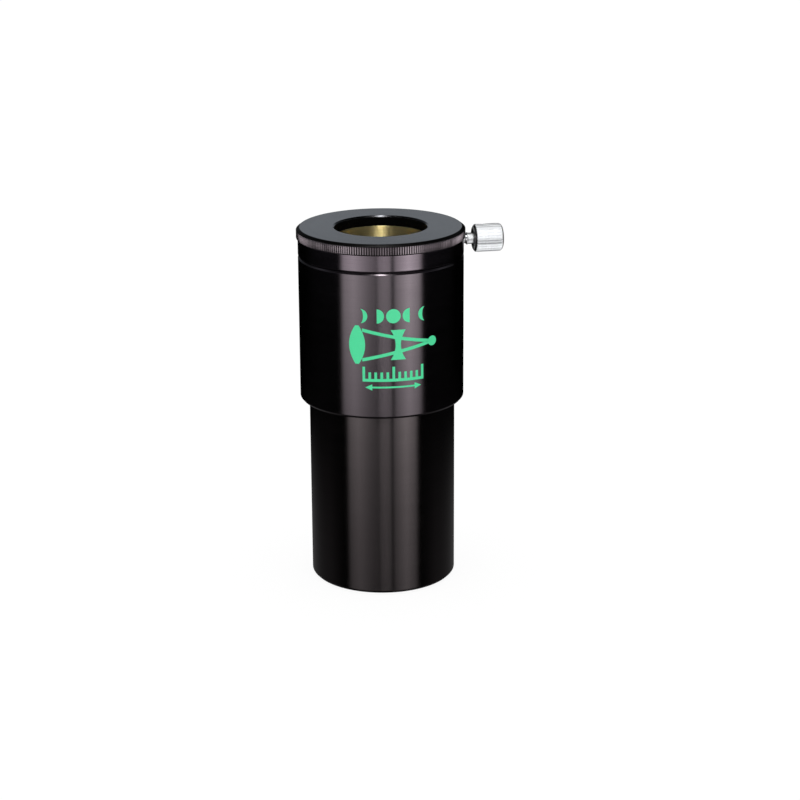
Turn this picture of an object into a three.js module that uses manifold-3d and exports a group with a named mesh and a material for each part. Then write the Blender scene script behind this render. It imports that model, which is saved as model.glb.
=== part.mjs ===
// A 2x Barlow lens for a telescope, with a 2 in nose barrel and a removable 1.25 in adapter.
// Millimetres, +Z up along the optical axis. The origin is the centre of the nose barrel's open
// end, and the thumbscrew points along +X. Light enters at the origin and leaves at the top.

import * as THREE from 'three';
import { mergeVertices } from 'three/addons/utils/BufferGeometryUtils.js';
import Module from 'manifold-3d';

const wasm = await Module();
wasm.setup();

// Driving radii.
const NOSE_R = 25.4; // 2 in barrel
const RECEIVER_R = 25.45; // bore that takes a 2 in barrel
const EYEPIECE_R = 16.0; // bore that takes a 1.25 in barrel
const FILTER_R = 23.65; // crests of the 48 mm filter thread
const LIGHT_PATH_R = 22.6; // barrel's bore above the lens cell
const BODY_R = 28.575; // 2.25 in housing and collar
const FLANGE_R = 29.1; // over the knurl
const LENS_R = 20.0;

// Driving heights above the nose barrel's end.
const SHOULDER_Z = 65.1; // housing's lower face
const SEAM_Z = 115.7; // housing's upper face
const COLLAR_TOP_Z = 122.0;
const TOP_Z = 125.7; // adapter's top face
const SCREW_Z = 119.8; // thumbscrew's axis
const CELL_STOP_Z = 22.6; // shoulder that the lens cell is screwed against
const SLEEVE_BASE_Z = 102.0; // adapter sleeve's lower end

// Clearances.
const GAP = 0.05; // between faces that meet
const THREAD_GAP = 0.1; // radial, between a plain spigot and the thread that it stands in
const SLIDE_GAP = 0.1; // radial, between the adapter's sleeve and the receiver bore

// Edge breaks.
const NOSE_CHAMFER = 0.9;
const BODY_CHAMFER = 0.5;
const FINE_CHAMFER = 0.2;

// Facets round a full turn.
const BODY_SEGMENTS = 48;
const OPTICS_SEGMENTS = 36;
const SCREW_SEGMENTS = 24;
const LENS_STEPS = 5; // chords from the axis to the rim of one lens surface

const MERGE_TOLERANCE = 1e-5;

// Finishes.
const blackAnodised = { color: 0x0d0c0e, roughness: 0.32, metalness: 0.6 };
const mattBlack = { color: 0x060606, roughness: 0.9, metalness: 0.0 };
const brass = { color: 0xb08a3e, roughness: 0.35, metalness: 1.0 };
const satinAluminium = { color: 0xe4e4e2, roughness: 0.4, metalness: 1.0 };
const steel = { color: 0x9a9a9c, roughness: 0.25, metalness: 1.0 };
const nylon = { color: 0xeeeee6, roughness: 0.5, metalness: 0.0 };
const coatedGlass = { color: 0xcfe3da, roughness: 0.02, metalness: 0.0, transparent: true, opacity: 0.35 };

// ---------------------------------------------------------------- solids

// A closed three.js geometry as a solid that can be cut.
function toSolid(geometry) {
  geometry.deleteAttribute('normal');
  geometry.deleteAttribute('uv');
  const merged = mergeVertices(geometry, MERGE_TOLERANCE);
  const corners = merged.index.array;
  const triangles = [];
  for (let i = 0; i < corners.length; i += 3) {
    const [a, b, c] = corners.slice(i, i + 3);
    if (a !== b && b !== c && c !== a) triangles.push(a, b, c);
  }
  return new wasm.Manifold(new wasm.Mesh({
    numProp: 3,
    vertProperties: new Float32Array(merged.attributes.position.array),
    triVerts: new Uint32Array(triangles),
  }));
}

function toGeometry(solid) {
  const mesh = solid.getMesh();
  const geometry = new THREE.BufferGeometry();
  geometry.setAttribute('position', new THREE.BufferAttribute(mesh.vertProperties, 3));
  geometry.setIndex(new THREE.BufferAttribute(mesh.triVerts, 1));
  geometry.computeVertexNormals();
  return geometry;
}

// Turns an outline of [radius, height] points about Z. The outline runs up its outer side. It
// starts and ends on the axis, or is closed here.
function revolve(outline, segments) {
  const points = outline.map(([radius, height]) => new THREE.Vector2(radius, height));
  if (outline[0][0] > 0) points.push(points[0]);
  const geometry = new THREE.LatheGeometry(points, segments);
  geometry.rotateX(Math.PI / 2);
  return toSolid(geometry);
}

// A plain ring from height 0.
function ring(innerR, outerR, height, segments) {
  return revolve([[innerR, 0], [outerR, 0], [outerR, height], [innerR, height]], segments);
}

// A cylinder along X at the given height, from x = start to x = end. Half a facet's turn keeps
// its edges off the upright edges of the tubes that it cuts.
function radialCylinder(radius, start, end, height) {
  const geometry = new THREE.CylinderGeometry(radius, radius, end - start, SCREW_SEGMENTS);
  geometry.rotateY(Math.PI / SCREW_SEGMENTS);
  geometry.rotateZ(Math.PI / 2);
  geometry.translate((start + end) / 2, 0, height);
  return toSolid(geometry);
}

function block(sizeX, sizeY, sizeZ, centreX, centreY, centreZ) {
  const geometry = new THREE.BoxGeometry(sizeX, sizeY, sizeZ);
  geometry.translate(centreX, centreY, centreZ);
  return toSolid(geometry);
}

function mesh(name, solid, finish, height = 0) {
  const piece = new THREE.Mesh(toGeometry(solid), new THREE.MeshStandardMaterial(finish));
  piece.name = name;
  piece.position.z = height;
  return piece;
}

// ---------------------------------------------------------------- body tubes

const BARREL_SPIGOT_R = 24.4;
const BARREL_SPIGOT = 8.0; // height of the spigot that screws into the housing

// The 2 in barrel, with the filter thread and the lens cell's seat in its lower end.
function noseBarrel() {
  const shoulder = SHOULDER_Z - GAP;
  const top = shoulder + BARREL_SPIGOT;
  const solid = revolve([
    [FILTER_R, 0],
    [NOSE_R - NOSE_CHAMFER, 0],
    [NOSE_R, NOSE_CHAMFER],
    [NOSE_R, shoulder],
    [BARREL_SPIGOT_R, shoulder],
    [BARREL_SPIGOT_R, top],
    [LIGHT_PATH_R, top],
    [LIGHT_PATH_R, CELL_STOP_Z],
    [FILTER_R, CELL_STOP_Z],
  ], BODY_SEGMENTS);
  return mesh('nose_barrel', solid, blackAnodised);
}

const EYEPIECE_STOP_R = 22.8; // lip that stops a 2 in eyepiece barrel
const EYEPIECE_STOP = 2.4; // thickness of that lip
const COLLAR_SPIGOT_R = 27.1;
const COLLAR_SPIGOT = 7.3; // height of the collar's spigot below the seam
const SOCKET_LEAD_IN_R = NOSE_R + GAP; // the shoulder's flat face starts here

// The housing screws onto the barrel's spigot and takes the collar's spigot in its top.
function mainHousing() {
  const height = SEAM_Z - SHOULDER_Z;
  const socketTop = BARREL_SPIGOT + 4 * GAP;
  const stopTop = socketTop + EYEPIECE_STOP;
  const recessBase = height - COLLAR_SPIGOT - 4 * GAP;
  const socketR = BARREL_SPIGOT_R + THREAD_GAP;
  const recessR = COLLAR_SPIGOT_R + THREAD_GAP;
  const solid = revolve([
    [socketR, SOCKET_LEAD_IN_R - socketR],
    [SOCKET_LEAD_IN_R, 0],
    [BODY_R - BODY_CHAMFER, 0],
    [BODY_R, BODY_CHAMFER],
    [BODY_R, height - BODY_CHAMFER],
    [BODY_R - BODY_CHAMFER, height],
    [recessR, height],
    [recessR, recessBase],
    [RECEIVER_R, recessBase],
    [RECEIVER_R, stopTop],
    [EYEPIECE_STOP_R, stopTop],
    [EYEPIECE_STOP_R, socketTop],
    [socketR, socketTop],
  ], BODY_SEGMENTS);
  return mesh('main_housing', solid, blackAnodised, SHOULDER_Z);
}

// ---------------------------------------------------------------- clamp collar

const COLLAR_RING_GROOVE_R = 26.9;
const COLLAR_RING = { innerR: 25.65, outerR: 26.55, height: 3.8, split: 3.0 };
const COLLAR_RING_Z = 119.4; // middle of the brass ring
const GROOVE_PLAY = 0.1; // above and below a brass ring in its groove
const STUD_R = 1.75; // 6-32 thread

// The collar carries the thumbscrew and, in a groove, the brass ring that it presses on.
function clampCollar() {
  const base = SEAM_Z - COLLAR_SPIGOT;
  const lowerFace = COLLAR_SPIGOT + GAP;
  const height = COLLAR_TOP_Z - base;
  const grooveHalf = COLLAR_RING.height / 2 + GROOVE_PLAY;
  const groove = COLLAR_RING_Z - base;
  const body = revolve([
    [RECEIVER_R, 0],
    [COLLAR_SPIGOT_R, 0],
    [COLLAR_SPIGOT_R, lowerFace],
    [BODY_R - BODY_CHAMFER, lowerFace],
    [BODY_R, lowerFace + BODY_CHAMFER],
    [BODY_R, height - FINE_CHAMFER],
    [BODY_R - FINE_CHAMFER, height],
    [RECEIVER_R, height],
    [RECEIVER_R, groove + grooveHalf],
    [COLLAR_RING_GROOVE_R, groove + grooveHalf],
    [COLLAR_RING_GROOVE_R, groove - grooveHalf],
    [RECEIVER_R, groove - grooveHalf],
  ], BODY_SEGMENTS);
  const tappedHole = radialCylinder(STUD_R + THREAD_GAP, RECEIVER_R - 1, BODY_R + 1, SCREW_Z - base);
  return mesh('clamp_collar', body.subtract(tappedHole), blackAnodised, base);
}

// A springy brass ring, split on the side opposite the thumbscrew.
function clampRing(name, { innerR, outerR, height, split }, centreZ) {
  const whole = ring(innerR, outerR, height, BODY_SEGMENTS);
  const cut = block(outerR - innerR + 2, split, height + 2, -(innerR + outerR) / 2, 0, height / 2);
  return mesh(name, whole.subtract(cut), brass, centreZ - height / 2);
}

// ---------------------------------------------------------------- eyepiece adapter

const ADAPTER_THREAD = { innerR: 19.5, outerR: 22.0, height: 1.7 }; // joins sleeve and flange
const KNURL_TOP = 2.75; // height of the knurled rim
const TOP_FACE_R = 27.9;
const BORE_CHAMFER = 0.5;

// The knurled flange screws onto the sleeve and covers the brass ring in the sleeve's top.
function adapterFlange() {
  const base = COLLAR_TOP_Z + GAP;
  const height = TOP_Z - base;
  const threadTop = ADAPTER_THREAD.height + 2 * GAP;
  const solid = revolve([
    [EYEPIECE_R, 0],
    [ADAPTER_THREAD.innerR - THREAD_GAP, 0],
    [ADAPTER_THREAD.innerR - THREAD_GAP, threadTop],
    [ADAPTER_THREAD.outerR + THREAD_GAP, threadTop],
    [ADAPTER_THREAD.outerR + THREAD_GAP, 0],
    [FLANGE_R - FINE_CHAMFER, 0],
    [FLANGE_R, FINE_CHAMFER],
    [FLANGE_R, KNURL_TOP],
    [TOP_FACE_R, height],
    [EYEPIECE_R + BORE_CHAMFER, height],
    [EYEPIECE_R, height - BORE_CHAMFER],
  ], BODY_SEGMENTS);
  return mesh('adapter_flange', solid, blackAnodised, base);
}

const ADAPTER_RING = { innerR: 16.05, outerR: 17.25, height: 5.2, split: 2.5 };
const ADAPTER_RING_SEAT_R = 17.6;
const ADAPTER_RING_Z = 119.35; // middle of the brass ring
const PUSH_PIN_R = 1.5;
const PUSH_PIN_INNER = 17.55;
const PUSH_PIN_OUTER = 25.3;

// The sleeve slides in the receiver bore. It seats the brass ring and guides the push pin.
function adapterSleeve() {
  const height = COLLAR_TOP_Z - SLEEVE_BASE_Z;
  const seatBase = ADAPTER_RING_Z - ADAPTER_RING.height / 2 - 3 * GROOVE_PLAY - SLEEVE_BASE_Z;
  const outerR = RECEIVER_R - SLIDE_GAP;
  const body = revolve([
    [EYEPIECE_R, 0],
    [outerR - BODY_CHAMFER, 0],
    [outerR, BODY_CHAMFER],
    [outerR, height],
    [ADAPTER_THREAD.outerR, height],
    [ADAPTER_THREAD.outerR, height + ADAPTER_THREAD.height],
    [ADAPTER_THREAD.innerR, height + ADAPTER_THREAD.height],
    [ADAPTER_THREAD.innerR, height],
    [ADAPTER_RING_SEAT_R, height],
    [ADAPTER_RING_SEAT_R, seatBase],
    [EYEPIECE_R, seatBase],
  ], BODY_SEGMENTS);
  const pinHole = radialCylinder(PUSH_PIN_R + 0.1, EYEPIECE_R + 1, NOSE_R + 1, SCREW_Z - SLEEVE_BASE_Z);
  return mesh('adapter_sleeve', body.subtract(pinHole), blackAnodised, SLEEVE_BASE_Z);
}

function pushPin() {
  const solid = radialCylinder(PUSH_PIN_R, PUSH_PIN_INNER, PUSH_PIN_OUTER, 0);
  return mesh('clamp_push_pin', solid, brass, SCREW_Z);
}

// ---------------------------------------------------------------- thumbscrew

const TIP = { radius: 1.0, start: 26.85, end: 28.5 };
const STUD = { start: 27.05, shoulderStart: 29.85, shoulderEnd: 30.45, end: 39.4, edge: 0.3 };
const SHOULDER_R = 2.1;
const NECK_R = 1.95; // stud from its shoulder into the knob
const KNOB = { start: 32.45, gripStart: 33.1, end: 42.6, radius: 4.85, rimR: 4.0, boreEnd: 39.6 };
const KNOB_DISH = 0.55; // depth of the dished back at the stud
const KNOB_EDGE = 0.9; // chamfer at the knob's outer end
const TIP_HOLE = { radius: 1.1, depth: 1.6 };

// Outlines here run along the screw, which the group below turns from +Z to +X.
function screwTip() {
  const solid = revolve(
    [[0, TIP.start], [TIP.radius, TIP.start], [TIP.radius, TIP.end], [0, TIP.end]],
    SCREW_SEGMENTS,
  );
  return mesh('thumbscrew_tip', solid, nylon);
}

function screwStud() {
  const holeEnd = STUD.start + TIP_HOLE.depth;
  const solid = revolve([
    [0, holeEnd],
    [TIP_HOLE.radius, holeEnd],
    [TIP_HOLE.radius, STUD.start],
    [STUD_R - STUD.edge, STUD.start],
    [STUD_R, STUD.start + STUD.edge],
    [STUD_R, STUD.shoulderStart],
    [SHOULDER_R, STUD.shoulderStart],
    [SHOULDER_R, STUD.shoulderEnd],
    [NECK_R, STUD.shoulderEnd],
    [NECK_R, STUD.end],
    [0, STUD.end],
  ], SCREW_SEGMENTS);
  return mesh('thumbscrew_stud', solid, steel);
}

function screwKnob() {
  const boreR = NECK_R + GAP;
  const solid = revolve([
    [0, KNOB.boreEnd],
    [boreR, KNOB.boreEnd],
    [boreR, KNOB.start + KNOB_DISH],
    [KNOB.rimR, KNOB.start],
    [KNOB.radius, KNOB.gripStart],
    [KNOB.radius, KNOB.end - KNOB_EDGE],
    [KNOB.radius - KNOB_EDGE, KNOB.end],
    [0, KNOB.end],
  ], SCREW_SEGMENTS);
  return mesh('thumbscrew_knob', solid, satinAluminium);
}

function thumbscrew() {
  const group = new THREE.Group();
  group.position.z = SCREW_Z;
  group.rotation.y = Math.PI / 2;
  group.add(screwTip(), screwStud(), screwKnob());
  return group;
}

// ---------------------------------------------------------------- optics

const LENS_CLEAR_R = 19.3; // polished surfaces end here, and a flat rim follows
const CROWN = { lowerRadius: 83.3, upperRadius: 38.7, centre: 2.2 }; // biconcave
const FLINT = { lowerRadius: 38.7, upperRadius: 100.6, centre: 4.9 }; // positive meniscus

// Depth of a spherical surface at a distance from the axis.
function sag(sphereRadius, distance) {
  return sphereRadius - Math.sqrt(sphereRadius ** 2 - distance ** 2);
}

// Points of a surface from the axis to the clear radius. It meets rimHeight there, and its
// middle lies the surface's whole depth above it (side 1) or below it (side -1).
function surface(sphereRadius, rimHeight, side) {
  const depth = sag(sphereRadius, LENS_CLEAR_R);
  const points = [];
  for (let step = 0; step <= LENS_STEPS; step += 1) {
    const distance = (LENS_CLEAR_R * step) / LENS_STEPS;
    points.push([distance, rimHeight + side * (depth - sag(sphereRadius, distance))]);
  }
  return points;
}

const depthOf = (sphereRadius) => sag(sphereRadius, LENS_CLEAR_R);
const CROWN_RIM = CROWN.centre + depthOf(CROWN.lowerRadius) + depthOf(CROWN.upperRadius);
const FLINT_RIM = FLINT.centre - depthOf(FLINT.lowerRadius) + depthOf(FLINT.upperRadius);

// Heights of the stack, from the cell's upper lip down.
const CELL = { outerR: 23.5, lipR: 19.2, lip: 1.6, threadR: 20.9, base: 6.5 };
const CELL_TOP_Z = CELL_STOP_Z - 2 * GAP;
const FLINT_Z = CELL_TOP_Z - CELL.lip - GAP - FLINT_RIM;
const SPACER = 0.35;
const SPACER_Z = FLINT_Z - GAP - SPACER;
const CROWN_Z = SPACER_Z - GAP - CROWN_RIM;
const RETAINER = 2.0;
const RETAINER_Z = CROWN_Z - GAP - RETAINER;
const LENS_PLAY = 0.1; // radial, round the lenses

function crownLens() {
  const lower = surface(CROWN.lowerRadius, 0, 1);
  const upper = surface(CROWN.upperRadius, CROWN_RIM, -1).reverse();
  const rim = [[LENS_R, 0], [LENS_R, CROWN_RIM]];
  const solid = revolve([...lower, ...rim, ...upper], OPTICS_SEGMENTS);
  return mesh('crown_lens', solid, coatedGlass, CROWN_Z);
}

function flintLens() {
  const lower = surface(FLINT.lowerRadius, 0, -1);
  const upper = surface(FLINT.upperRadius, FLINT_RIM, -1).reverse();
  const rim = [[LENS_R, 0], [LENS_R, FLINT_RIM]];
  const solid = revolve([...lower, ...rim, ...upper], OPTICS_SEGMENTS);
  return mesh('flint_lens', solid, coatedGlass, FLINT_Z);
}

function lensSpacer() {
  return mesh('lens_spacer', ring(LENS_CLEAR_R + GAP, LENS_R, SPACER, OPTICS_SEGMENTS), mattBlack, SPACER_Z);
}

// The cell screws up into the barrel. The lenses drop in from below, under its upper lip.
function lensCell() {
  const height = CELL_TOP_Z - CELL.base;
  const lipBase = height - CELL.lip;
  const threadTop = CROWN_Z - CELL.base + GAP;
  const lensBoreR = LENS_R + LENS_PLAY;
  const solid = revolve([
    [CELL.threadR, 0],
    [CELL.outerR, 0],
    [CELL.outerR, height],
    [CELL.lipR, height],
    [CELL.lipR, lipBase],
    [lensBoreR, lipBase],
    [lensBoreR, threadTop],
    [CELL.threadR, threadTop],
  ], OPTICS_SEGMENTS);
  return mesh('lens_cell', solid, mattBlack, CELL.base);
}

// A threaded ring with two spanner slots in its lower face.
const SPANNER_SLOT = { width: 2.0, depth: 0.9 };

function slottedRing(name, innerR, outerR, height, z) {
  let solid = ring(innerR, outerR, height, OPTICS_SEGMENTS);
  for (const side of [1, -1]) {
    const centreY = (side * (innerR + outerR)) / 2;
    const slot = block(SPANNER_SLOT.width, outerR - innerR + 2, SPANNER_SLOT.depth * 2, 0, centreY, 0);
    solid = solid.subtract(slot);
  }
  return mesh(name, solid, mattBlack, z);
}

function retainingRing() {
  return slottedRing('lens_retaining_ring', CELL.lipR, CELL.threadR - THREAD_GAP, RETAINER, RETAINER_Z);
}

const LOCK_RING = 1.8;

function cellLockRing() {
  const z = CELL.base - 2 * GAP - LOCK_RING;
  return slottedRing('cell_lock_ring', CELL.threadR, CELL.outerR, LOCK_RING, z);
}

// A glare stop: a short skirt that grips the barrel's bore, and a knife edge at its middle.
const BAFFLE = { height: 5.0, skirt: 0.8, edge: 0.4, flank: 1.4 };

function baffle(name, apertureR, centreZ) {
  const outerR = LIGHT_PATH_R - THREAD_GAP;
  const skirtR = outerR - BAFFLE.skirt;
  const middle = BAFFLE.height / 2;
  const solid = revolve([
    [skirtR, 0],
    [outerR, 0],
    [outerR, BAFFLE.height],
    [skirtR, BAFFLE.height],
    [skirtR, middle + BAFFLE.flank / 2],
    [apertureR, middle + BAFFLE.edge / 2],
    [apertureR, middle - BAFFLE.edge / 2],
    [skirtR, middle - BAFFLE.flank / 2],
  ], OPTICS_SEGMENTS);
  return mesh(name, solid, mattBlack, centreZ - middle);
}

// ---------------------------------------------------------------- assembly

const barlow = new THREE.Group();

const tube = new THREE.Group();
tube.add(noseBarrel(), mainHousing(), clampCollar());
tube.add(clampRing('collar_clamp_ring', COLLAR_RING, COLLAR_RING_Z));
barlow.add(tube);

const adapter = new THREE.Group();
adapter.add(adapterFlange(), adapterSleeve(), pushPin());
adapter.add(clampRing('adapter_clamp_ring', ADAPTER_RING, ADAPTER_RING_Z));
barlow.add(adapter);

barlow.add(thumbscrew());

const optics = new THREE.Group();
optics.add(crownLens(), flintLens(), lensSpacer(), lensCell(), retainingRing(), cellLockRing());
optics.add(baffle('lower_baffle', 20.4, 38.0), baffle('upper_baffle', 20.9, 56.0));
barlow.add(optics);

export default barlow;
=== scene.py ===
"""A barlow lens in a white studio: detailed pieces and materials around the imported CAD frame.

Pieces are worked out in millimetres about the optical axis (+Z) and built in metres.
"""

import math

import bmesh
import bpy
import numpy as np
from mathutils import Matrix, Vector

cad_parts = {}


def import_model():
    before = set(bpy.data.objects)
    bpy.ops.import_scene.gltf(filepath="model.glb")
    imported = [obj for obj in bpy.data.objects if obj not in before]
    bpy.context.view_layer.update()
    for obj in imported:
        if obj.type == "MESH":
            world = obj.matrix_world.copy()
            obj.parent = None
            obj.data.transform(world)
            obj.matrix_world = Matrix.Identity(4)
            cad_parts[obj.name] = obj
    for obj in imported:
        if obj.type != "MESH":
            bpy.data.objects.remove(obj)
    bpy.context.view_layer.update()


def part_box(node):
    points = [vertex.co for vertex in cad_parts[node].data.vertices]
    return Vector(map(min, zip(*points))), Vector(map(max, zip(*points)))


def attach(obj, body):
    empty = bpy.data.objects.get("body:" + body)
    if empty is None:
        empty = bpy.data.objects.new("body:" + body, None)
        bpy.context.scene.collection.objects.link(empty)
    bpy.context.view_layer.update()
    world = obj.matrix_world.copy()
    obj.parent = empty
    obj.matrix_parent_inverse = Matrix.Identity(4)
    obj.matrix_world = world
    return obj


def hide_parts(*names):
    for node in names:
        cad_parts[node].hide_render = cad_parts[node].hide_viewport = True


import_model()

MM = 0.001
TURN = 2 * math.pi


# ------------------------------------------------------------------ sizes from the frame

def span(node):
    """Outer radius, lowest z and highest z in mm of a node that is round about the optical axis."""
    low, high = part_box(node)
    return high.x / MM, low.z / MM, high.z / MM


def reach(node):
    """Start and end along x, radius, and the axis's height in mm, of a node that is round about x."""
    low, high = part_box(node)
    return low.x / MM, high.x / MM, (high.z - low.z) / 2 / MM, (high.z + low.z) / 2 / MM


NOSE_R, NOSE_BOTTOM, SPIGOT_TOP = span("nose_barrel")
BODY_R, SHOULDER_Z, SEAM_Z = span("main_housing")
_, COLLAR_BASE, COLLAR_TOP = span("clamp_collar")
FLANGE_R, FLANGE_BASE, TOP_Z = span("adapter_flange")
SLEEVE_R, SLEEVE_BASE, SLEEVE_TOP = span("adapter_sleeve")
SCREW_Z = reach("thumbscrew_knob")[3]
RING_Z = (span("collar_clamp_ring")[1] + span("collar_clamp_ring")[2]) / 2

# Inner sizes, which the boxes don't show.
GAP = 0.05
FILTER_R = 23.65
FILTER_PITCH = 0.75
FILTER_DEPTH = 0.4
LIGHT_PATH_R = 22.6
CELL_STOP_Z = 22.6
BARREL_SPIGOT_R = 24.4
SOCKET_R = 24.5
SOCKET_TOP = SHOULDER_Z + 8.2
STOP_R = 22.8
STOP_TOP = SOCKET_TOP + 2.4
RECEIVER_R = 25.45
RECESS_R = 27.2
RECESS_BASE = COLLAR_BASE - 0.2
COLLAR_SPIGOT_R = 27.1
RING_GROOVE_R = 26.9
EYEPIECE_R = 16.0
JOINT_PITCH = 0.8  # the threads that join the tubes
STUD_R = 1.75
STUD_PITCH = 0.794  # 6-32
NECK_R = 1.95  # stud from its shoulder into the knob


# ------------------------------------------------------------------ mesh building

def even(columns):
    """Angles of evenly spaced columns round a full turn, with the seam at both ends."""
    return np.linspace(0, TURN, columns + 1)


def toothed(teeth, phases):
    """Angles of columns at the same phases of each tooth, with the seam at both ends."""
    inside = [(tooth + phase) / teeth * TURN for tooth in range(teeth) for phase in phases]
    return np.array(inside + [TURN])


HOLD = 1.25  # a row this many roundings from a corner keeps the straight part's shading straight


def corners(outline):
    """Rows (radius, height) of a closed outline of (radius, height, rounding) points, going up its
    outer side. Each corner becomes a short curve that starts its rounding's length away."""
    rows = []
    count = len(outline)
    for i, (radius, height, rounding) in enumerate(outline):
        here = np.array([radius, height])
        if rounding == 0:
            rows.append(here)
            continue
        ends, holds = [], []
        for other in (outline[i - 1], outline[(i + 1) % count]):
            away = np.array(other[:2]) - here
            length = np.linalg.norm(away)
            cut = min(rounding, 0.38 * length)
            ends.append(here + away / length * cut)
            holds.append(here + away / length * cut * HOLD)
        curve = [
            (1 - t) ** 2 * ends[0] + 2 * t * (1 - t) * here + t * t * ends[1]
            for t in (0, 0.25, 0.5, 0.75, 1)
        ]
        rows += [holds[0], *curve, holds[1]]
    return [(row[0], row[1]) for row in rows]


def helix(crest, root, low, high, pitch, angles):
    """Rows of a screw thread from low up to high. Each row climbs one pitch a turn, and the thread
    fades out over its last pitch at both ends."""
    steps = 6
    rows = []
    turns = math.ceil((high - low) / pitch)
    for k in range(-steps, turns * steps + 1):
        height = np.clip(low + pitch * (k / steps + angles / TURN), low, high)
        fade = np.clip(np.minimum(height - low, high - height) / pitch, 0, 1)
        depth = 1 - abs(2 * (k % steps) / steps - 1)
        rows.append((crest + (root - crest) * depth * fade, height))
    return rows


def lathe(name, rows, angles, closed=True, split=False):
    """A mesh object of rows (radius, height) turned through the angles. Rows run up the outer side.
    A closed outline joins its last row to its first. A split ring gets a flat end at each side."""
    rings, columns = len(rows), len(angles)
    radius = np.array([np.broadcast_to(row[0], columns) for row in rows], float)
    height = np.array([np.broadcast_to(row[1], columns) for row in rows], float)
    points = np.stack([radius * np.cos(angles), radius * np.sin(angles), height], axis=-1)
    index = np.arange(rings * columns).reshape(rings, columns)
    following = np.roll(index, -1, axis=0)
    if not closed:
        index, following = index[:-1], following[:-1]
    quads = np.stack(
        [index[:, :-1], index[:, 1:], following[:, 1:], following[:, :-1]], axis=-1
    ).reshape(-1, 4)
    faces = [list(map(int, quad)) for quad in quads]
    if split:
        faces.append([int(i) for i in index[:, 0]])
        faces.append([int(i) for i in index[::-1, -1]])
    return piece(name, points.reshape(-1, 3) * MM, faces)


SMOOTH_ANGLE = math.radians(32)
WELD = 3e-7
OVERSHOOT = 2  # mm that a cutter reaches past what it cuts


def smooth(mesh):
    """Shades a mesh smooth, with its sharp edges kept sharp."""
    mesh.shade_smooth()
    mesh.set_sharp_from_angle(angle=SMOOTH_ANGLE)


def piece(name, points, faces):
    """A welded, smooth-shaded mesh object from points in metres."""
    mesh = bpy.data.meshes.new(name)
    mesh.from_pydata([tuple(p) for p in points], [], faces)
    bm = bmesh.new()
    bm.from_mesh(mesh)
    bmesh.ops.remove_doubles(bm, verts=bm.verts, dist=WELD)
    bmesh.ops.dissolve_degenerate(bm, edges=bm.edges, dist=WELD)
    bm.to_mesh(mesh)
    bm.free()
    smooth(mesh)
    made = bpy.data.objects.new(name, mesh)
    bpy.context.scene.collection.objects.link(made)
    return made


def along_x(made):
    """Turns a lathed piece from the optical axis to the thumbscrew's axis."""
    lifted = Matrix.Translation((0, 0, SCREW_Z * MM))
    made.data.transform(lifted @ Matrix.Rotation(math.pi / 2, 4, "Y"))
    return made


def subtract(made, cutter):
    """Cuts the cutter's shape out of a piece, and removes the cutter."""
    cut = made.modifiers.new("cut", "BOOLEAN")
    cut.operation = "DIFFERENCE"
    cut.solver = "EXACT"
    cut.object = cutter
    bpy.context.view_layer.update()
    solved = made.evaluated_get(bpy.context.evaluated_depsgraph_get())
    remains = bpy.data.meshes.new_from_object(solved)
    made.modifiers.clear()
    made.data = remains
    remains.name = made.name
    bpy.data.objects.remove(cutter)


def drill(made, radius, start, end):
    """Cuts a round hole on the thumbscrew's axis, then gives the curved walls their true normals
    back."""
    rows = [(0, start), (radius, start), (radius, end), (0, end)]
    subtract(made, along_x(lathe("cutter", rows, even(96), closed=False)))
    smooth(made.data)
    round_normals(made.data)
    return made


UPRIGHT, ROUND = 0.01, 0.998  # how near a face's normal is to level, and to the axis


def round_normals(mesh):
    """Sets the normals of faces on upright round walls to point straight from or to the axis."""
    normals = [Vector(n.vector) for n in mesh.corner_normals]
    for face in mesh.polygons:
        if abs(face.normal.z) > UPRIGHT:
            continue
        for corner in face.loop_indices:
            spot = mesh.vertices[mesh.loops[corner].vertex_index].co
            outward = Vector((spot.x, spot.y, 0)).normalized()
            facing = face.normal.dot(outward)
            if abs(facing) > ROUND:
                normals[corner] = outward * math.copysign(1, facing)
    mesh.normals_split_custom_set(normals)


# ------------------------------------------------------------------ materials

def shader(name, **settings):
    """A material with one Principled shader, set by socket names with underscores for spaces."""
    material = bpy.data.materials.new(name)
    material.use_nodes = True
    bsdf = material.node_tree.nodes["Principled BSDF"]
    for socket, value in settings.items():
        bsdf.inputs[socket.replace("_", " ")].default_value = value
    return material


def node(material, kind, **inputs):
    """A new node with its inputs, by number or name, set to values or linked to other outputs."""
    made = material.node_tree.nodes.new(kind)
    for key, value in inputs.items():
        numbered = key[0] == "n" and key[1:].isdigit()
        socket = made.inputs[int(key[1:]) if numbered else key.replace("_", " ")]
        if isinstance(value, bpy.types.NodeSocket):
            material.node_tree.links.new(value, socket)
        else:
            socket.default_value = value
    return made


def math_node(material, operation, first, second=0.0):
    """The result of a Math node."""
    made = node(material, "ShaderNodeMath", n0=first, n1=second)
    made.operation = operation
    return made.outputs[0]


def turned_coordinates(material, axis):
    """A vector of (distance from the axis, place round it, place along it), in millimetres."""
    place = node(material, "ShaderNodeTexCoord").outputs["Object"]
    centre = (0, 0, 0) if axis == "Z" else (0, 0, SCREW_Z * MM)
    shifted = node(material, "ShaderNodeVectorMath", n0=place, n1=centre)
    shifted.operation = "SUBTRACT"
    split = node(material, "ShaderNodeSeparateXYZ", n0=shifted.outputs[0])
    x, y, z = (split.outputs[i] for i in range(3))
    across, along = ((x, y), z) if axis == "Z" else ((z, y), x)
    squares = [math_node(material, "MULTIPLY", part, part) for part in across]
    distance = math_node(material, "SQRT", math_node(material, "ADD", *squares))
    angle = math_node(material, "ARCTAN2", across[1], across[0])
    return node(
        material,
        "ShaderNodeCombineXYZ",
        n0=math_node(material, "MULTIPLY", distance, 1 / MM),
        n1=angle,
        n2=math_node(material, "MULTIPLY", along, 1 / MM),
    ).outputs[0]


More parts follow.
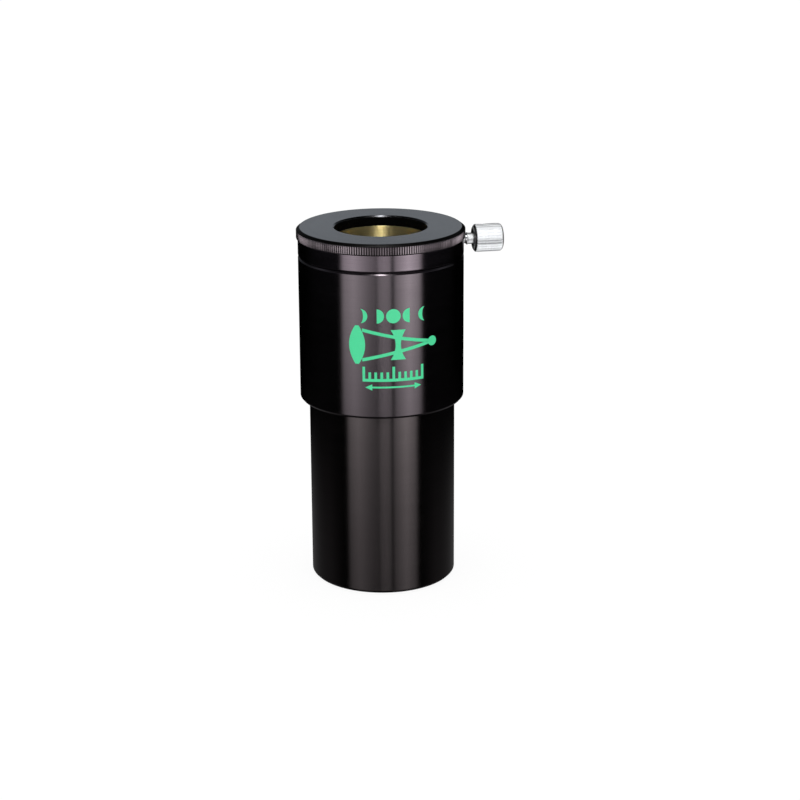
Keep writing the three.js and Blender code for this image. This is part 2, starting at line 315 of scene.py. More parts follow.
def stretched_noise(material, coordinates, lines, breaks):
    """Noise that runs round the work: lines per mm across it, and breaks per radian along it."""
    scaled = node(material, "ShaderNodeVectorMath", n0=coordinates, n1=(lines, breaks, lines))
    scaled.operation = "MULTIPLY"
    vector = scaled.outputs[0]
    return node(
        material, "ShaderNodeTexNoise", Vector=vector, Scale=1.0, Detail=3.0, Roughness=0.6
    ).outputs["Fac"]


def spread(material, value, low, high):
    """The value, from 0.25 to 0.75, mapped to low to high."""
    made = node(material, "ShaderNodeMapRange", n0=value, n1=0.25, n2=0.75, n3=low, n4=high)
    return made.outputs[0]


def tinted(material, mask, colour, change):
    """The colour, darker and lighter by the change where the mask goes from 0 to 1."""
    tint = node(material, "ShaderNodeMixRGB", n0=spread(material, mask, 0.0, 1.0))
    tint.inputs[1].default_value = (*[c * (1 - change) for c in colour], 1)
    tint.inputs[2].default_value = (*[min(1, c * (1 + change)) for c in colour], 1)
    return tint.outputs[0]


def turned_metal(name, colour, roughness, grain, axis="Z", lines=5.0, depth=0.0006):
    """Lathe-turned metal: fine marks round the axis, with highlights drawn out across the marks.
    Lines is the marks to a millimetre, and depth is how deep they are in millimetres."""
    material = shader(name, Base_Color=(*colour, 1), Metallic=1.0, Anisotropic=grain)
    bsdf = material.node_tree.nodes["Principled BSDF"]
    link = material.node_tree.links.new
    coordinates = turned_coordinates(material, axis)
    marks = stretched_noise(material, coordinates, lines, 0.6)
    bump = node(material, "ShaderNodeBump", Height=marks, Distance=depth * MM, Strength=1.0)
    link(bump.outputs[0], bsdf.inputs["Normal"])
    broad = stretched_noise(material, coordinates, lines / 12, 1.5)
    link(spread(material, broad, roughness * 0.92, roughness * 1.1), bsdf.inputs["Roughness"])
    link(tinted(material, marks, colour, 0.1), bsdf.inputs["Base Color"])
    tangent = material.node_tree.nodes.new("ShaderNodeTangent")
    tangent.direction_type = "RADIAL"
    tangent.axis = axis
    link(tangent.outputs[0], bsdf.inputs["Tangent"])
    bsdf.inputs["Anisotropic Rotation"].default_value = 0.25
    return material


def plain_surface(name, colour, roughness, depth=0.002, **settings):
    """A surface with fine uneven grit, such as matt anodising, nylon or ink. Depth is in mm."""
    grit, patchiness = 8.0, 0.25  # to a millimetre
    material = shader(name, Base_Color=(*colour, 1), **settings)
    bsdf = material.node_tree.nodes["Principled BSDF"]
    link = material.node_tree.links.new
    place = node(material, "ShaderNodeTexCoord").outputs["Object"]
    noise = node(
        material, "ShaderNodeTexNoise", Vector=place, Scale=grit / MM, Detail=3.0
    ).outputs["Fac"]
    bump = node(material, "ShaderNodeBump", Height=noise, Distance=depth * MM, Strength=1.0)
    link(bump.outputs[0], bsdf.inputs["Normal"])
    patches = node(
        material, "ShaderNodeTexNoise", Vector=place, Scale=patchiness / MM, Detail=2.0
    ).outputs["Fac"]
    link(spread(material, patches, roughness * 0.9, roughness * 1.1), bsdf.inputs["Roughness"])
    link(tinted(material, noise, colour, 0.12), bsdf.inputs["Base Color"])
    return material


def coated_glass(name, ior, film):
    """Polished lens glass with an anti-reflection film, its thickness in nanometres."""
    return shader(
        name,
        Base_Color=(0.97, 1.0, 0.985, 1),
        Roughness=0.0,
        IOR=ior,
        Transmission_Weight=1.0,
        Thin_Film_Thickness=film,
        Thin_Film_IOR=1.38,
    )


BLACK = turned_metal("black_anodised", (0.064, 0.0555, 0.0605), 0.22, 0.93)
BARREL_BLACK = turned_metal("barrel_anodised", (0.06, 0.0525, 0.0535), 0.22, 0.93)
COLLAR_BLACK = turned_metal("collar_anodised", (0.08, 0.0675, 0.0765), 0.22, 0.93)
FACE_BLACK = turned_metal("faced_black", (0.055, 0.056, 0.06), 0.24, 0.3, lines=3.0)
KNURL_BLACK = turned_metal("knurled_black", (0.1, 0.087, 0.094), 0.22, 0.6)
# Painted shade: nearly black and hardly glossy, for the flange's outer chamfer and its socket's bore,
# which are the same anodised metal as the rest and here stand in for their shade and dark
# reflections.
PAINTED_SHADE_BLACK = plain_surface("painted_shade_black", (0.0012, 0.001, 0.001), 0.35, Specular_IOR_Level=0.06)
MATT_BLACK = plain_surface("matt_black", (0.012, 0.012, 0.012), 0.75)
BRASS = turned_metal("turned_brass", (0.7, 0.56, 0.25), 0.32, 0.9, depth=0.002)
PIN_BRASS = turned_metal("pin_brass", (0.74, 0.56, 0.24), 0.3, 0.4, axis="X", depth=0.001)
KNOB_METAL = turned_metal("satin_aluminium", (0.9, 0.9, 0.92), 0.22, 0.3, axis="X", depth=0.001)
STEEL = turned_metal("stainless", (0.78, 0.78, 0.79), 0.22, 0.4, axis="X", depth=0.0005)
NYLON = plain_surface("nylon", (0.85, 0.85, 0.8), 0.45, depth=0.001)
CROWN_GLASS = coated_glass("crown_glass", 1.517, 110.0)
FLINT_GLASS = coated_glass("flint_glass", 1.62, 110.0)
INK = plain_surface("green_ink", (0.05, 0.64, 0.29), 0.45, depth=0.0008, Specular_IOR_Level=0.3)


def place(made, node_name, body, material, slot):
    """Gives a piece its finish, makes it ride on its body and stand for its CAD node."""
    if not made.data.materials:
        made.data.materials.append(material)
    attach(made, body)
    if node_name:
        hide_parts(node_name)
    return made


# ------------------------------------------------------------------ body tubes

TUBE_COLUMNS = even(256)


def nose_barrel():
    """The 2 in barrel: filter thread inside its end, and a threaded spigot on top."""
    thread_base, thread_top = 0.35, 4.5
    shoulder = SHOULDER_Z - GAP
    outer = corners([
        (FILTER_R, NOSE_BOTTOM, 0.2),
        (NOSE_R - 0.9, NOSE_BOTTOM, 0.15),
        (NOSE_R, NOSE_BOTTOM + 0.9, 0.3),
        (NOSE_R, shoulder, 0.08),
        (BARREL_SPIGOT_R, shoulder, 0.05),
    ])
    spigot = helix(
        BARREL_SPIGOT_R, BARREL_SPIGOT_R - 0.4, shoulder + 1, SPIGOT_TOP - 0.4, JOINT_PITCH,
        TUBE_COLUMNS,
    )
    top = [
        (BARREL_SPIGOT_R - 0.3, SPIGOT_TOP),
        (LIGHT_PATH_R + 0.1, SPIGOT_TOP),
        (LIGHT_PATH_R, SPIGOT_TOP - 0.1),
        (LIGHT_PATH_R, CELL_STOP_Z),
        (FILTER_R, CELL_STOP_Z),
        (FILTER_R, thread_top + 0.2),
    ]
    filter_thread = helix(
        FILTER_R, FILTER_R + FILTER_DEPTH, thread_base, thread_top, FILTER_PITCH, TUBE_COLUMNS
    )
    made = lathe("nose_barrel_tube", outer + spigot + top + filter_thread[::-1], TUBE_COLUMNS)
    place(made, "nose_barrel", "tube", BARREL_BLACK, "black_anodised")


def main_housing():
    """The housing, with a socket below, a stop lip, the 2 in bore and the collar's recess. The
    threads in the socket and the recess are left plain."""
    rows = corners([
        (SOCKET_R, SHOULDER_Z + 0.95, 0.1),
        (NOSE_R + GAP, SHOULDER_Z, 0.02),
        (BODY_R - 0.7, SHOULDER_Z, 0.05),
        (BODY_R, SHOULDER_Z + 0.8, 0.1),
        (BODY_R, SEAM_Z - 0.5, 0.08),
        (BODY_R - 0.5, SEAM_Z, 0.06),
        (RECESS_R, SEAM_Z, 0.1),
        (RECESS_R, RECESS_BASE, 0.05),
        (RECEIVER_R, RECESS_BASE, 0.2),
        (RECEIVER_R, STOP_TOP, 0.1),
        (STOP_R, STOP_TOP, 0.2),
        (STOP_R, SOCKET_TOP, 0.2),
        (SOCKET_R, SOCKET_TOP, 0.1),
    ])
    made = lathe("housing_tube", rows, TUBE_COLUMNS)
    place(made, "main_housing", "tube", BLACK, "black_anodised")


def clamp_collar():
    """The collar above the seam, with a threaded spigot, the brass ring's groove and the
    thumbscrew's hole, left plain inside."""
    lower_face = SEAM_Z + GAP
    groove_half = 2.0
    root = COLLAR_SPIGOT_R - 0.35
    spigot = helix(
        COLLAR_SPIGOT_R, root, COLLAR_BASE + 0.4, lower_face - 0.8, JOINT_PITCH, TUBE_COLUMNS
    )
    rows = spigot + corners([
        (COLLAR_SPIGOT_R, lower_face, 0.05),
        (BODY_R - 0.7, lower_face, 0.06),
        (BODY_R, lower_face + 0.7, 0.08),
        (BODY_R, COLLAR_TOP - 0.2, 0.06),
        (BODY_R - 0.2, COLLAR_TOP, 0.05),
        (RECEIVER_R, COLLAR_TOP, 0.12),
        (RECEIVER_R, RING_Z + groove_half, 0.05),
        (RING_GROOVE_R, RING_Z + groove_half, 0.05),
        (RING_GROOVE_R, RING_Z - groove_half, 0.05),
        (RECEIVER_R, RING_Z - groove_half, 0.05),
        (RECEIVER_R, COLLAR_BASE, 0.2),
        (root, COLLAR_BASE, 0.1),
    ])
    turned = lathe("collar_body", rows, TUBE_COLUMNS)
    made = drill(turned, STUD_R + 0.1, RECEIVER_R - OVERSHOOT, BODY_R + OVERSHOOT)
    place(made, "clamp_collar", "tube", COLLAR_BLACK, "black_anodised")


# ------------------------------------------------------------------ brass rings

def band(inner, outer, bottom, top, edge):
    """Rows of a plain ring with rounded edges."""
    return corners([
        (inner, bottom, edge), (outer, bottom, edge), (outer, top, edge), (inner, top, edge),
    ])


def split_ring(name, node_name, body, width, gap):
    """A springy brass ring with rounded edges, split on the side opposite the thumbscrew."""
    outer, bottom, top = span(node_name)
    inner = outer - width
    half_gap = gap / 2 / inner
    columns = 241
    angles = np.linspace(-math.pi + half_gap, math.pi - half_gap, columns)
    rows = band(inner, outer, bottom, top, 0.12)
    place(lathe(name, rows, angles, split=True), node_name, body, BRASS, "brass")


# ------------------------------------------------------------------ adapter

KNURL_TEETH = 216
KNURL_DEPTH = 0.36
KNURL_PHASES = (0.0, 0.36, 0.68)  # crest from 0 to 0.36, root at 0.68


def knurled(rows, outer, teeth, depth):
    """The rows with straight teeth cut in wherever they stand out past the teeth's roots."""
    cut = np.array([outer, outer, outer - depth] * teeth + [outer])
    return [(np.minimum(radius, cut), height) for radius, height in rows]


def adapter_flange():
    """The flange: straight-knurled rim, smooth chamfer, flat top, and a socket for the eyepiece. The
    chamfer and the socket's bore carry painted shade.
    """
    rim_top = TOP_Z - 0.9
    face_r = FLANGE_R - 1.2
    edge = 0.2
    # Rows close together where the teeth run out, so that their ends are crisp.
    chamfer = [
        (FLANGE_R + (face_r - FLANGE_R) * share, rim_top + (TOP_Z - rim_top) * share, 0)
        for share in (0.08, 0.16, 0.24, 0.32)
    ]
    thread_in, thread_out, thread_top = 19.4, 22.1, FLANGE_BASE + 1.8
    rows = corners([
        (FLANGE_R - 0.6, FLANGE_BASE, 0),
        (FLANGE_R - edge, FLANGE_BASE, 0),
        (FLANGE_R, FLANGE_BASE + edge, 0),
        (FLANGE_R, rim_top, 0),
        *chamfer,
        (face_r, TOP_Z, 0.12),
        (EYEPIECE_R + 0.5, TOP_Z, 0.08),
        (EYEPIECE_R, TOP_Z - 0.5, 0.08),
        (EYEPIECE_R, FLANGE_BASE, 0.1),
        (thread_in, FLANGE_BASE, 0),
        (thread_in, thread_top, 0),
        (thread_out, thread_top, 0),
        (thread_out, FLANGE_BASE, 0),
    ])
    angles = toothed(KNURL_TEETH, KNURL_PHASES)
    made = lathe("flange_body", knurled(rows, FLANGE_R, KNURL_TEETH, KNURL_DEPTH), angles)
    finishes = (FACE_BLACK, KNURL_BLACK, PAINTED_SHADE_BLACK)
    for finish in finishes:
        made.data.materials.append(finish)
    margin = 0.02
    for face in made.data.polygons:
        distance = math.hypot(face.center.x, face.center.y) / MM
        chamfered = distance > face_r and face.center.z > (rim_top + margin) * MM
        # The outer chamfer and the socket's bore get the painted shade black.
        if distance < EYEPIECE_R + margin or chamfered:
            finish = PAINTED_SHADE_BLACK
        else:
            finish = FACE_BLACK if face.normal.z > 0.2 else KNURL_BLACK
        face.material_index = finishes.index(finish)
    place(made, "adapter_flange", "adapter", FACE_BLACK, "flange_black")


def adapter_sleeve():
    """The sleeve in the 2 in bore, with the inner brass ring's seat and the push pin's hole."""
    seat_r, seat_base, face = 17.6, span("adapter_clamp_ring")[1] - 0.3, COLLAR_TOP
    thread_in, thread_out = 19.5, 22.0
    rows = corners([
        (EYEPIECE_R, SLEEVE_BASE, 0.3),
        (SLEEVE_R - 0.6, SLEEVE_BASE, 0.15),
        (SLEEVE_R, SLEEVE_BASE + 0.6, 0.2),
        (SLEEVE_R, face, 0.1),
        (thread_out, face, 0.05),
        (thread_out, SLEEVE_TOP, 0.15),
        (thread_in, SLEEVE_TOP, 0.15),
        (thread_in, face, 0.05),
        (seat_r, face, 0.1),
        (seat_r, seat_base, 0.05),
        (EYEPIECE_R, seat_base, 0.15),
    ])
    pin_hole_r = 1.6
    turned = lathe("sleeve_body", rows, TUBE_COLUMNS)
    made = drill(turned, pin_hole_r, EYEPIECE_R + 1, SLEEVE_R + OVERSHOOT)
    place(made, "adapter_sleeve", "adapter", BLACK, "black_anodised")


PIN_COLUMNS = even(48)


def pin(name, node_name, start_edge, end_edge):
    """A plain pin on the thumbscrew's axis, with rounded ends."""
    start, end, radius, _ = reach(node_name)
    rows = corners([
        (0, start, 0), (radius, start, start_edge), (radius, end, end_edge), (0, end, 0),
    ])
    return along_x(lathe(name, rows, PIN_COLUMNS, closed=False))


def push_pin():
    """The pin that passes the screw's force through the sleeve's wall to the inner brass ring."""
    made = pin("push_pin_body", "clamp_push_pin", 0.4, 0.4)
    place(made, "clamp_push_pin", "push_pin", PIN_BRASS, "brass")


# ------------------------------------------------------------------ thumbscrew

FLUTES = 30
FLUTE_DEPTH = 0.24
FLUTE_PHASES = (0.0, 0.22, 0.44, 0.64, 0.73, 0.82, 0.91)
FLUTE_SHAPE = (0.0, 0.0, 0.0, 0.0, 0.75, 1.0, 0.75)  # share of the depth at each phase


def screw_knob():
    """The knob: straight flutes, a rounded outer end, and a dished back with the stud's bore."""
    start, end, radius, _ = reach("thumbscrew_knob")
    angles = toothed(FLUTES, FLUTE_PHASES)
    cut = radius - FLUTE_DEPTH * np.array(list(FLUTE_SHAPE) * FLUTES + [FLUTE_SHAPE[0]])
    bore, bore_end = NECK_R + GAP, end - 3.0
    dish, rim = start + 0.55, radius - 0.85
    grip_start, grip_end = start + 0.65, end - 0.75
    centre_r, centre_depth = 1.6, 0.2  # the turned dimple in the outer end
    rows = corners([
        (0, bore_end, 0),
        (bore, bore_end, 0),
        (bore, dish, 0.05),
        (rim, start, 0.08),
        (radius - 0.3, start + 0.4, 0.05),
        (radius, grip_start, 0.1),
        (radius, grip_end, 0.5),
        (radius - 0.9, end, 0.5),
        (centre_r, end, 0.2),
        (centre_r - 0.2, end - 0.15, 0.2),
        (0, end - centre_depth, 0),
    ])
    fluted = [(np.minimum(row_radius, cut), height) for row_radius, height in rows]
    made = along_x(lathe("knob_body", fluted, angles, closed=False))
    place(made, "thumbscrew_knob", "thumbscrew", KNOB_METAL, "satin_aluminium")


def screw_stud():
    """The stud: a hole for the nylon tip, a 6-32 thread, a shoulder and the end inside the knob."""
    start, end, shoulder_r, _ = reach("thumbscrew_stud")
    angles = even(64)
    shoulder_start, shoulder_end = 29.85, 30.45
    root = STUD_R - 0.42
    tip_r, tip_depth = 1.1, 1.6
    thread_start, thread_end = start + 0.36, shoulder_start - 0.1
    rows = [
        (0, start + tip_depth), (tip_r, start + tip_depth),
        (tip_r, start + 0.1), (tip_r + 0.08, start),
        (root, start), (STUD_R - 0.02, start + 0.35),
    ]
    rows += helix(STUD_R, root, thread_start, thread_end, STUD_PITCH, angles)
    rows += [
        (shoulder_r - 0.12, shoulder_start), (shoulder_r, shoulder_start + 0.12),
        (shoulder_r, shoulder_end - 0.1), (shoulder_r - 0.1, shoulder_end),
        (NECK_R, shoulder_end + 0.02), (NECK_R, end), (0, end),
    ]
    made = along_x(lathe("stud_body", rows, angles, closed=False))
    place(made, "thumbscrew_stud", "thumbscrew", STEEL, "stainless")


def screw_tip():
    """The nylon tip in the stud's inner end, which presses on the collar's brass ring."""
    made = pin("tip_body", "thumbscrew_tip", 0.35, 0.05)
    place(made, "thumbscrew_tip", "screw_tip", NYLON, "nylon")


# ------------------------------------------------------------------ optics

OPTICS_COLUMNS = even(192)
CLEAR_R = 19.3

# Radii of the lens surfaces. The two that face each other match.
CROWN_LOWER_R, FACING_R, FLINT_UPPER_R = 83.3, 38.7, 100.6


def sag(sphere, distance):
    """How far a spherical surface has curved away at a distance from the axis."""
    return sphere - math.sqrt(sphere**2 - distance**2)


def lens(name, node_name, lower, upper, lower_side, upper_side, material):
    """A lens between two spherical surfaces, with flat rims and bevelled ground edges. A side is 1
    where the surface's middle lies above its rim, and -1 where it lies below."""
    outer, bottom, top = span(node_name)
    rim_bottom = bottom if lower_side > 0 else bottom + sag(lower, CLEAR_R)
    steps = 24

    def surface(sphere, rim, side):
        depth = sag(sphere, CLEAR_R)
        distances = [CLEAR_R * i / steps for i in range(steps + 1)]
        return [(d, rim + side * (depth - sag(sphere, d))) for d in distances]

    bevel = 0.15
    rows = surface(lower, rim_bottom, lower_side)
    rows += [(outer - bevel, rim_bottom), (outer, rim_bottom + bevel)]
    rows += [(outer, top - bevel), (outer - bevel, top)]
    rows += surface(upper, top, upper_side)[::-1]
    made = lathe(name, rows, OPTICS_COLUMNS, closed=False)
    made.data.materials.append(material)
    made.data.materials.append(MATT_BLACK)  # for the ground edge
    for face in made.data.polygons:
        if math.hypot(face.center.x, face.center.y) > (CLEAR_R + 0.05) * MM:
            face.material_index = 1
    place(made, node_name, "tube", material, "lens_glass")


def plain_ring(name, node_name, inner, edge=0.1, slots=False):
    """A ring with broken edges, and two spanner slots in its lower face if asked."""
    outer, bottom, top = span(node_name)
    made = lathe(name, band(inner, outer, bottom, top, edge), OPTICS_COLUMNS)
    if slots:
        cut_slots(made, bottom, (inner + outer) / 2, outer - inner)
    place(made, node_name, "tube", MATT_BLACK, "matt_black")


def cut_slots(made, bottom, middle, width):
    """Two spanner slots across the ring, on the y axis."""
    slot_width, slot_depth = 2.0, 0.9
    for side in (1, -1):
        bm = bmesh.new()
        bmesh.ops.create_cube(bm, size=1)
        size = Matrix.Diagonal(
            (slot_width * MM, (width + OVERSHOOT) * MM, 2 * slot_depth * MM, 1)
        )
        bm.transform(Matrix.Translation((0, side * middle * MM, bottom * MM)) @ size)
        box_mesh = bpy.data.meshes.new("slot_cutter")
        bm.to_mesh(box_mesh)
        bm.free()
        cutter = bpy.data.objects.new("slot_cutter", box_mesh)
        bpy.context.scene.collection.objects.link(cutter)
        subtract(made, cutter)
    smooth(made.data)


def lens_cell():
    """The cell, threaded outside for the barrel and inside below the lenses for their ring."""
    outer, bottom, top = span("lens_cell")
    lip_r, lip, lens_bore, thread_r = 19.2, 1.6, 20.1, 20.9
    thread_top = span("crown_lens")[1] + GAP
    root, edge = outer - 0.35, 0.15
    rows = [(thread_r + 0.2, bottom), (root, bottom)]
    rows += helix(outer, root, bottom + 0.4, top - 0.4, FILTER_PITCH, OPTICS_COLUMNS)
    rows += [
        (root, top), (lip_r + edge, top), (lip_r, top - edge), (lip_r, top - lip),
        (lens_bore, top - lip), (lens_bore, thread_top), (thread_r, thread_top),
    ]
    inner_thread = helix(
        thread_r, thread_r + 0.3, bottom + 0.3, thread_top - 0.3, FILTER_PITCH, OPTICS_COLUMNS
    )
    rows += inner_thread[::-1]
    made = lathe("lens_cell_body", rows, OPTICS_COLUMNS)
    place(made, "lens_cell", "tube", MATT_BLACK, "matt_black")


def baffle(name, node_name, aperture):
    """A glare stop: a short skirt with a knife edge at its middle."""
    outer, bottom, top = span(node_name)
    middle = (bottom + top) / 2
    skirt = outer - 0.8
    root, edge = 0.7, 0.2  # half the knife edge's thickness at the skirt and at the aperture
    rows = corners([
        (skirt, bottom, 0.1),
        (outer, bottom, 0.15),
        (outer, top, 0.15),
        (skirt, top, 0.1),
        (skirt, middle + root, 0.2),
        (aperture, middle + edge, 0.08),
        (aperture, middle - edge, 0.08),
        (skirt, middle - root, 0.2),
    ])
    place(lathe(name, rows, OPTICS_COLUMNS), node_name, "tube", MATT_BLACK, "matt_black")


def optics():
    """Both lenses, their cell and rings, and the two glare stops."""
    lens("crown_glass_lens", "crown_lens", CROWN_LOWER_R, FACING_R, 1, -1, CROWN_GLASS)
    lens("flint_glass_lens", "flint_lens", FACING_R, FLINT_UPPER_R, -1, -1, FLINT_GLASS)
    lens_cell()
    plain_ring("spacer_ring", "lens_spacer", 19.35, edge=0.05)
    plain_ring("retaining_ring", "lens_retaining_ring", 19.2, slots=True)
    plain_ring("lock_ring", "cell_lock_ring", 20.9, slots=True)
    baffle("lower_glare_stop", "lower_baffle", 20.4)
    baffle("upper_glare_stop", "upper_baffle", 20.9)


# ------------------------------------------------------------------ printed graphic

PRINT_ANGLE = math.radians(-90 - 1.5)  # the print's middle, nearly a quarter turn from the screw
INK_LIFTS = (0.03, -0.03)  # the ink's faces, from the housing's surface


def patch(point, rows, columns):
    """Points in mm and faces of a closed thin slab of ink. point(s, t), with s and t from 0 to 1,
    gives its place (across, up) in mm on the unrolled housing."""
    steps = np.linspace(0, 1, rows + 1), np.linspace(0, 1, columns + 1)
    s, t = np.meshgrid(*steps, indexing="ij")
    across, up = point(s, t)
    angle = PRINT_ANGLE + across / BODY_R
    layers = []
    for lift in INK_LIFTS:
        radius = BODY_R + lift
        spots = np.stack([radius * np.cos(angle), radius * np.sin(angle), up], axis=-1)
        layers.append(spots.reshape(-1, 3))
    size = (rows + 1) * (columns + 1)
    index = np.arange(size).reshape(rows + 1, columns + 1)
    quads = [
        [index[i, j], index[i, j + 1], index[i + 1, j + 1], index[i + 1, j]]
        for i in range(rows) for j in range(columns)
    ]
    rim = [index[0, j] for j in range(columns)]
    rim += [index[i, columns] for i in range(rows)]
    rim += [index[rows, j] for j in range(columns, 0, -1)]
    rim += [index[i, 0] for i in range(rows, 0, -1)]
    faces = quads + [[i + size for i in quad[::-1]] for quad in quads]
    faces += [[b, a, a + size, b + size] for a, b in zip(rim, rim[1:] + rim[:1])]
    return np.concatenate(layers), faces


def moon(across, up, radius, lit):
    """A moon's lit part: the disc from lit (-1 is all of it, 0 half, near 1 a thin crescent) to its
    right edge. A negative radius turns it round."""
    def point(s, t):
        turn = math.pi * (s - 0.5)
        half = radius * np.cos(turn)
        return across + half * (lit + (1 - lit) * t), up + abs(radius) * np.sin(turn)
    return point, 24, 8


def glass(across, up, height, middle, end):
    """A lens seen from the side, middle thick on its axis and end thick at its tips."""
    def point(s, t):
        v = 2 * s - 1
        half = middle / 2 + (end - middle) / 2 * v**2
        return across + half * (2 * t - 1), up + v * height / 2
    return point, 24, 6


def bar(start, end, width):
    """A straight bar between two points. Its width runs up if it lies, and across if it stands."""
    (x0, y0), (x1, y1) = start, end
    lying = abs(x1 - x0) >= abs(y1 - y0)

    def point(s, t):
        offset = width * (s - 0.5)
        dx, dy = (0, offset) if lying else (-offset, 0)
        return x0 + (x1 - x0) * t + dx, y0 + (y1 - y0) * t + dy
    return point, 1, max(2, int(math.hypot(x1 - x0, y1 - y0)))


def arrowhead(across, up, length, height):
    """An arrowhead with its tip at a point. A negative length and height turn it round."""
    def point(s, t):
        return across - length * t, up + height * (s - 0.5) * t
    return point, 2, 3


def moon_phases():
    """Five phases in a row, from one crescent to the other."""
    up, step, radius = 101.2, 5.6, 2.45
    phases = ((radius, 0.4), (radius, 0.0), (radius, -1.0), (-radius, 0.0), (-radius, 0.4))
    return [moon((i - 2) * step, up, size, lit) for i, (size, lit) in enumerate(phases)]


def ray_diagram():
    """A convex lens, a concave lens and two rays that pass both to a dot at their focus."""
    up, convex_across, concave_across, dot_across = 91.2, -12.4, 1.6, 14.2
    shapes = [
        glass(convex_across, up, 13.4, 5.6, 1.2),
        glass(concave_across, up, 10.4, 1.8, 5.2),
    ]
    width = 1.15
    for side in (1, -1):
        bend = (concave_across, up + side * 2.4)
        shapes.append(bar((convex_across + 1.8, up + side * 5.2), bend, width))
        shapes.append(bar(bend, (dot_across - 0.2, up), width))
    shapes.append(moon(dot_across, up, 1.7, -1.0))
    return shapes


def rule():
    """A short rule with every fifth tick taller."""
    up, half, ticks, width = 78.4, 10.6, 11, 0.9
    shapes = [bar((-half, up + 0.5), (half, up + 0.5), 1.0)]
    for i in range(ticks):
        across = -half + width / 2 + (2 * half - width) * i / (ticks - 1)
        tall = 5.2 if i % 5 == 0 else 3.3
        shapes.append(bar((across, up + 0.6), (across, up + tall), width))
    return shapes


def double_arrow():
    """A line with an arrowhead at each end."""
    up, half, head, height = 76.4, 9.7, 2.4, 2.2
    return [
        bar((-half + 1.5, up), (half - 1.5, up), 0.6),
        arrowhead(half, up, head, height),
        arrowhead(-half, up, -head, -height),
    ]


def graphic():
    """The print: moon phases, a ray diagram, a rule and a double arrow. No lettering."""
    shapes = moon_phases() + ray_diagram() + rule() + double_arrow()
    points, faces, start = [], [], 0
    for shape in shapes:
        patch_points, patch_faces = patch(*shape)
        points.append(patch_points)
        faces += [[int(i) + start for i in face] for face in patch_faces]
        start += len(patch_points)
    made = piece("housing_print", np.concatenate(points) * MM, faces)
    place(made, None, "tube", INK, "print_green")


# ------------------------------------------------------------------ studio

CAMERA_AZIMUTH = math.radians(-9.6)
CAMERA_ELEVATION = math.radians(17.41)
CAMERA_DISTANCE = 0.7395
CAMERA_ROLL = math.radians(-0.482)
FOCAL_LENGTH = 94.65
SENSOR_WIDTH = 36
SHIFT_X, SHIFT_Y = 0.0225, -0.0069
TARGET = Vector((0, 0, 0.065))


def camera():
    """The camera looks slightly down at the part, with the small shift of the framing."""
    data = bpy.data.cameras.new("camera")
    data.sensor_width = SENSOR_WIDTH
    data.lens = FOCAL_LENGTH
    data.shift_x, data.shift_y = SHIFT_X, SHIFT_Y
    data.clip_start, data.clip_end = 0.05, 20
    eye = bpy.data.objects.new("camera", data)
    bpy.context.scene.collection.objects.link(eye)
    a, e = CAMERA_AZIMUTH, CAMERA_ELEVATION
    back = Vector((math.sin(a) * math.cos(e), -math.cos(a) * math.cos(e), math.sin(e)))
    right = Vector((math.cos(a), math.sin(a), 0))
    up = back.cross(right)
    rolled_right = right * math.cos(CAMERA_ROLL) + up * math.sin(CAMERA_ROLL)
    rolled_up = up * math.cos(CAMERA_ROLL) - right * math.sin(CAMERA_ROLL)
    turn = Matrix((rolled_right, rolled_up, back)).transposed()
    eye.matrix_world = Matrix.Translation(TARGET + back * CAMERA_DISTANCE) @ turn.to_4x4()
    bpy.context.scene.camera = eye


# What reflections see is drawn on sheets that the camera doesn't see. Directions are counted from
# the camera: turn to the right of it, and rise above the horizon.
FRONT = CAMERA_AZIMUTH - math.pi / 2


def stops_at(stops, value):
    """The value of a line of (place, value) stops at a place."""
    return np.interp(value, *zip(*stops))


# The wall round the work. Stops are (turn in degrees, brightness): two soft boxes with a weaker
# middle and two narrow dark gaps stand in front, a thin strip behind, and the rest is dark. Rises
# are (height in metres, share of the brightness). The foot glows a little beyond the side angle.
WALL_STOPS = (
    (-180, 2.5), (-176, 2.5), (-174, 0.0), (-55, 0.0), (-49, 3.4), (-36, 4.6), (-20, 2.6),
    (-12, 1.7), (-8, 1.4), (-7, 0.8), (-5, 0.8), (-4, 1.9), (4, 2.8), (12, 2.6), (13, 0.5),
    (16, 0.5), (18, 2.6), (36, 6.4), (50, 3.8), (56, 0.0), (174, 0.0), (176, 2.5), (180, 2.5),
)
WALL_RISES = (
    (-0.08, 0.11), (-0.035, 0.16), (0.0, 0.24), (0.02, 0.48), (0.06, 0.7), (0.09, 1.05),
    (0.12, 1.15), (0.15, 0.12), (0.18, 0.12),
)
FOOT_RISES = ((-0.06, 0.11), (-0.012, 0.0))
FOOT_ANGLE, FOOT_BLEND = 60, 30
WALL_R = 0.22
WALL_LOW, WALL_HIGH = -0.34, 0.18
WALL_TINT = (1, 0.98, 0.99)


def wall(turn, height):
    """Place and brightness on the wall. Turn is in radians."""
    degrees = (np.degrees(turn) + 180) % 360 - 180
    front = stops_at(WALL_STOPS, degrees) * stops_at(WALL_RISES, height)
    side = np.clip((np.abs(degrees) - FOOT_ANGLE) / FOOT_BLEND, 0, 1)
    foot = stops_at(FOOT_RISES, height) * side
    azimuth = FRONT + turn
    spot = np.stack([WALL_R * np.cos(azimuth), WALL_R * np.sin(azimuth), height], axis=-1)
    return spot, front + foot


# A low dome for the top face, as (turn in degrees, brightness). It is dim where the seam's chamfer
# would mirror it at the sides.
DOME_STOPS = (
    (0, 0.47), (105, 0.47), (115, 0.1), (155, 0.1), (160, 0.47), (200, 0.47), (205, 0.1),
    (245, 0.1), (255, 0.47), (360, 0.47),
)
DOME_R = 0.2
DOME_LOW, DOME_HIGH = 1, 40
DOME_TINT = (0.93, 1, 1.09)


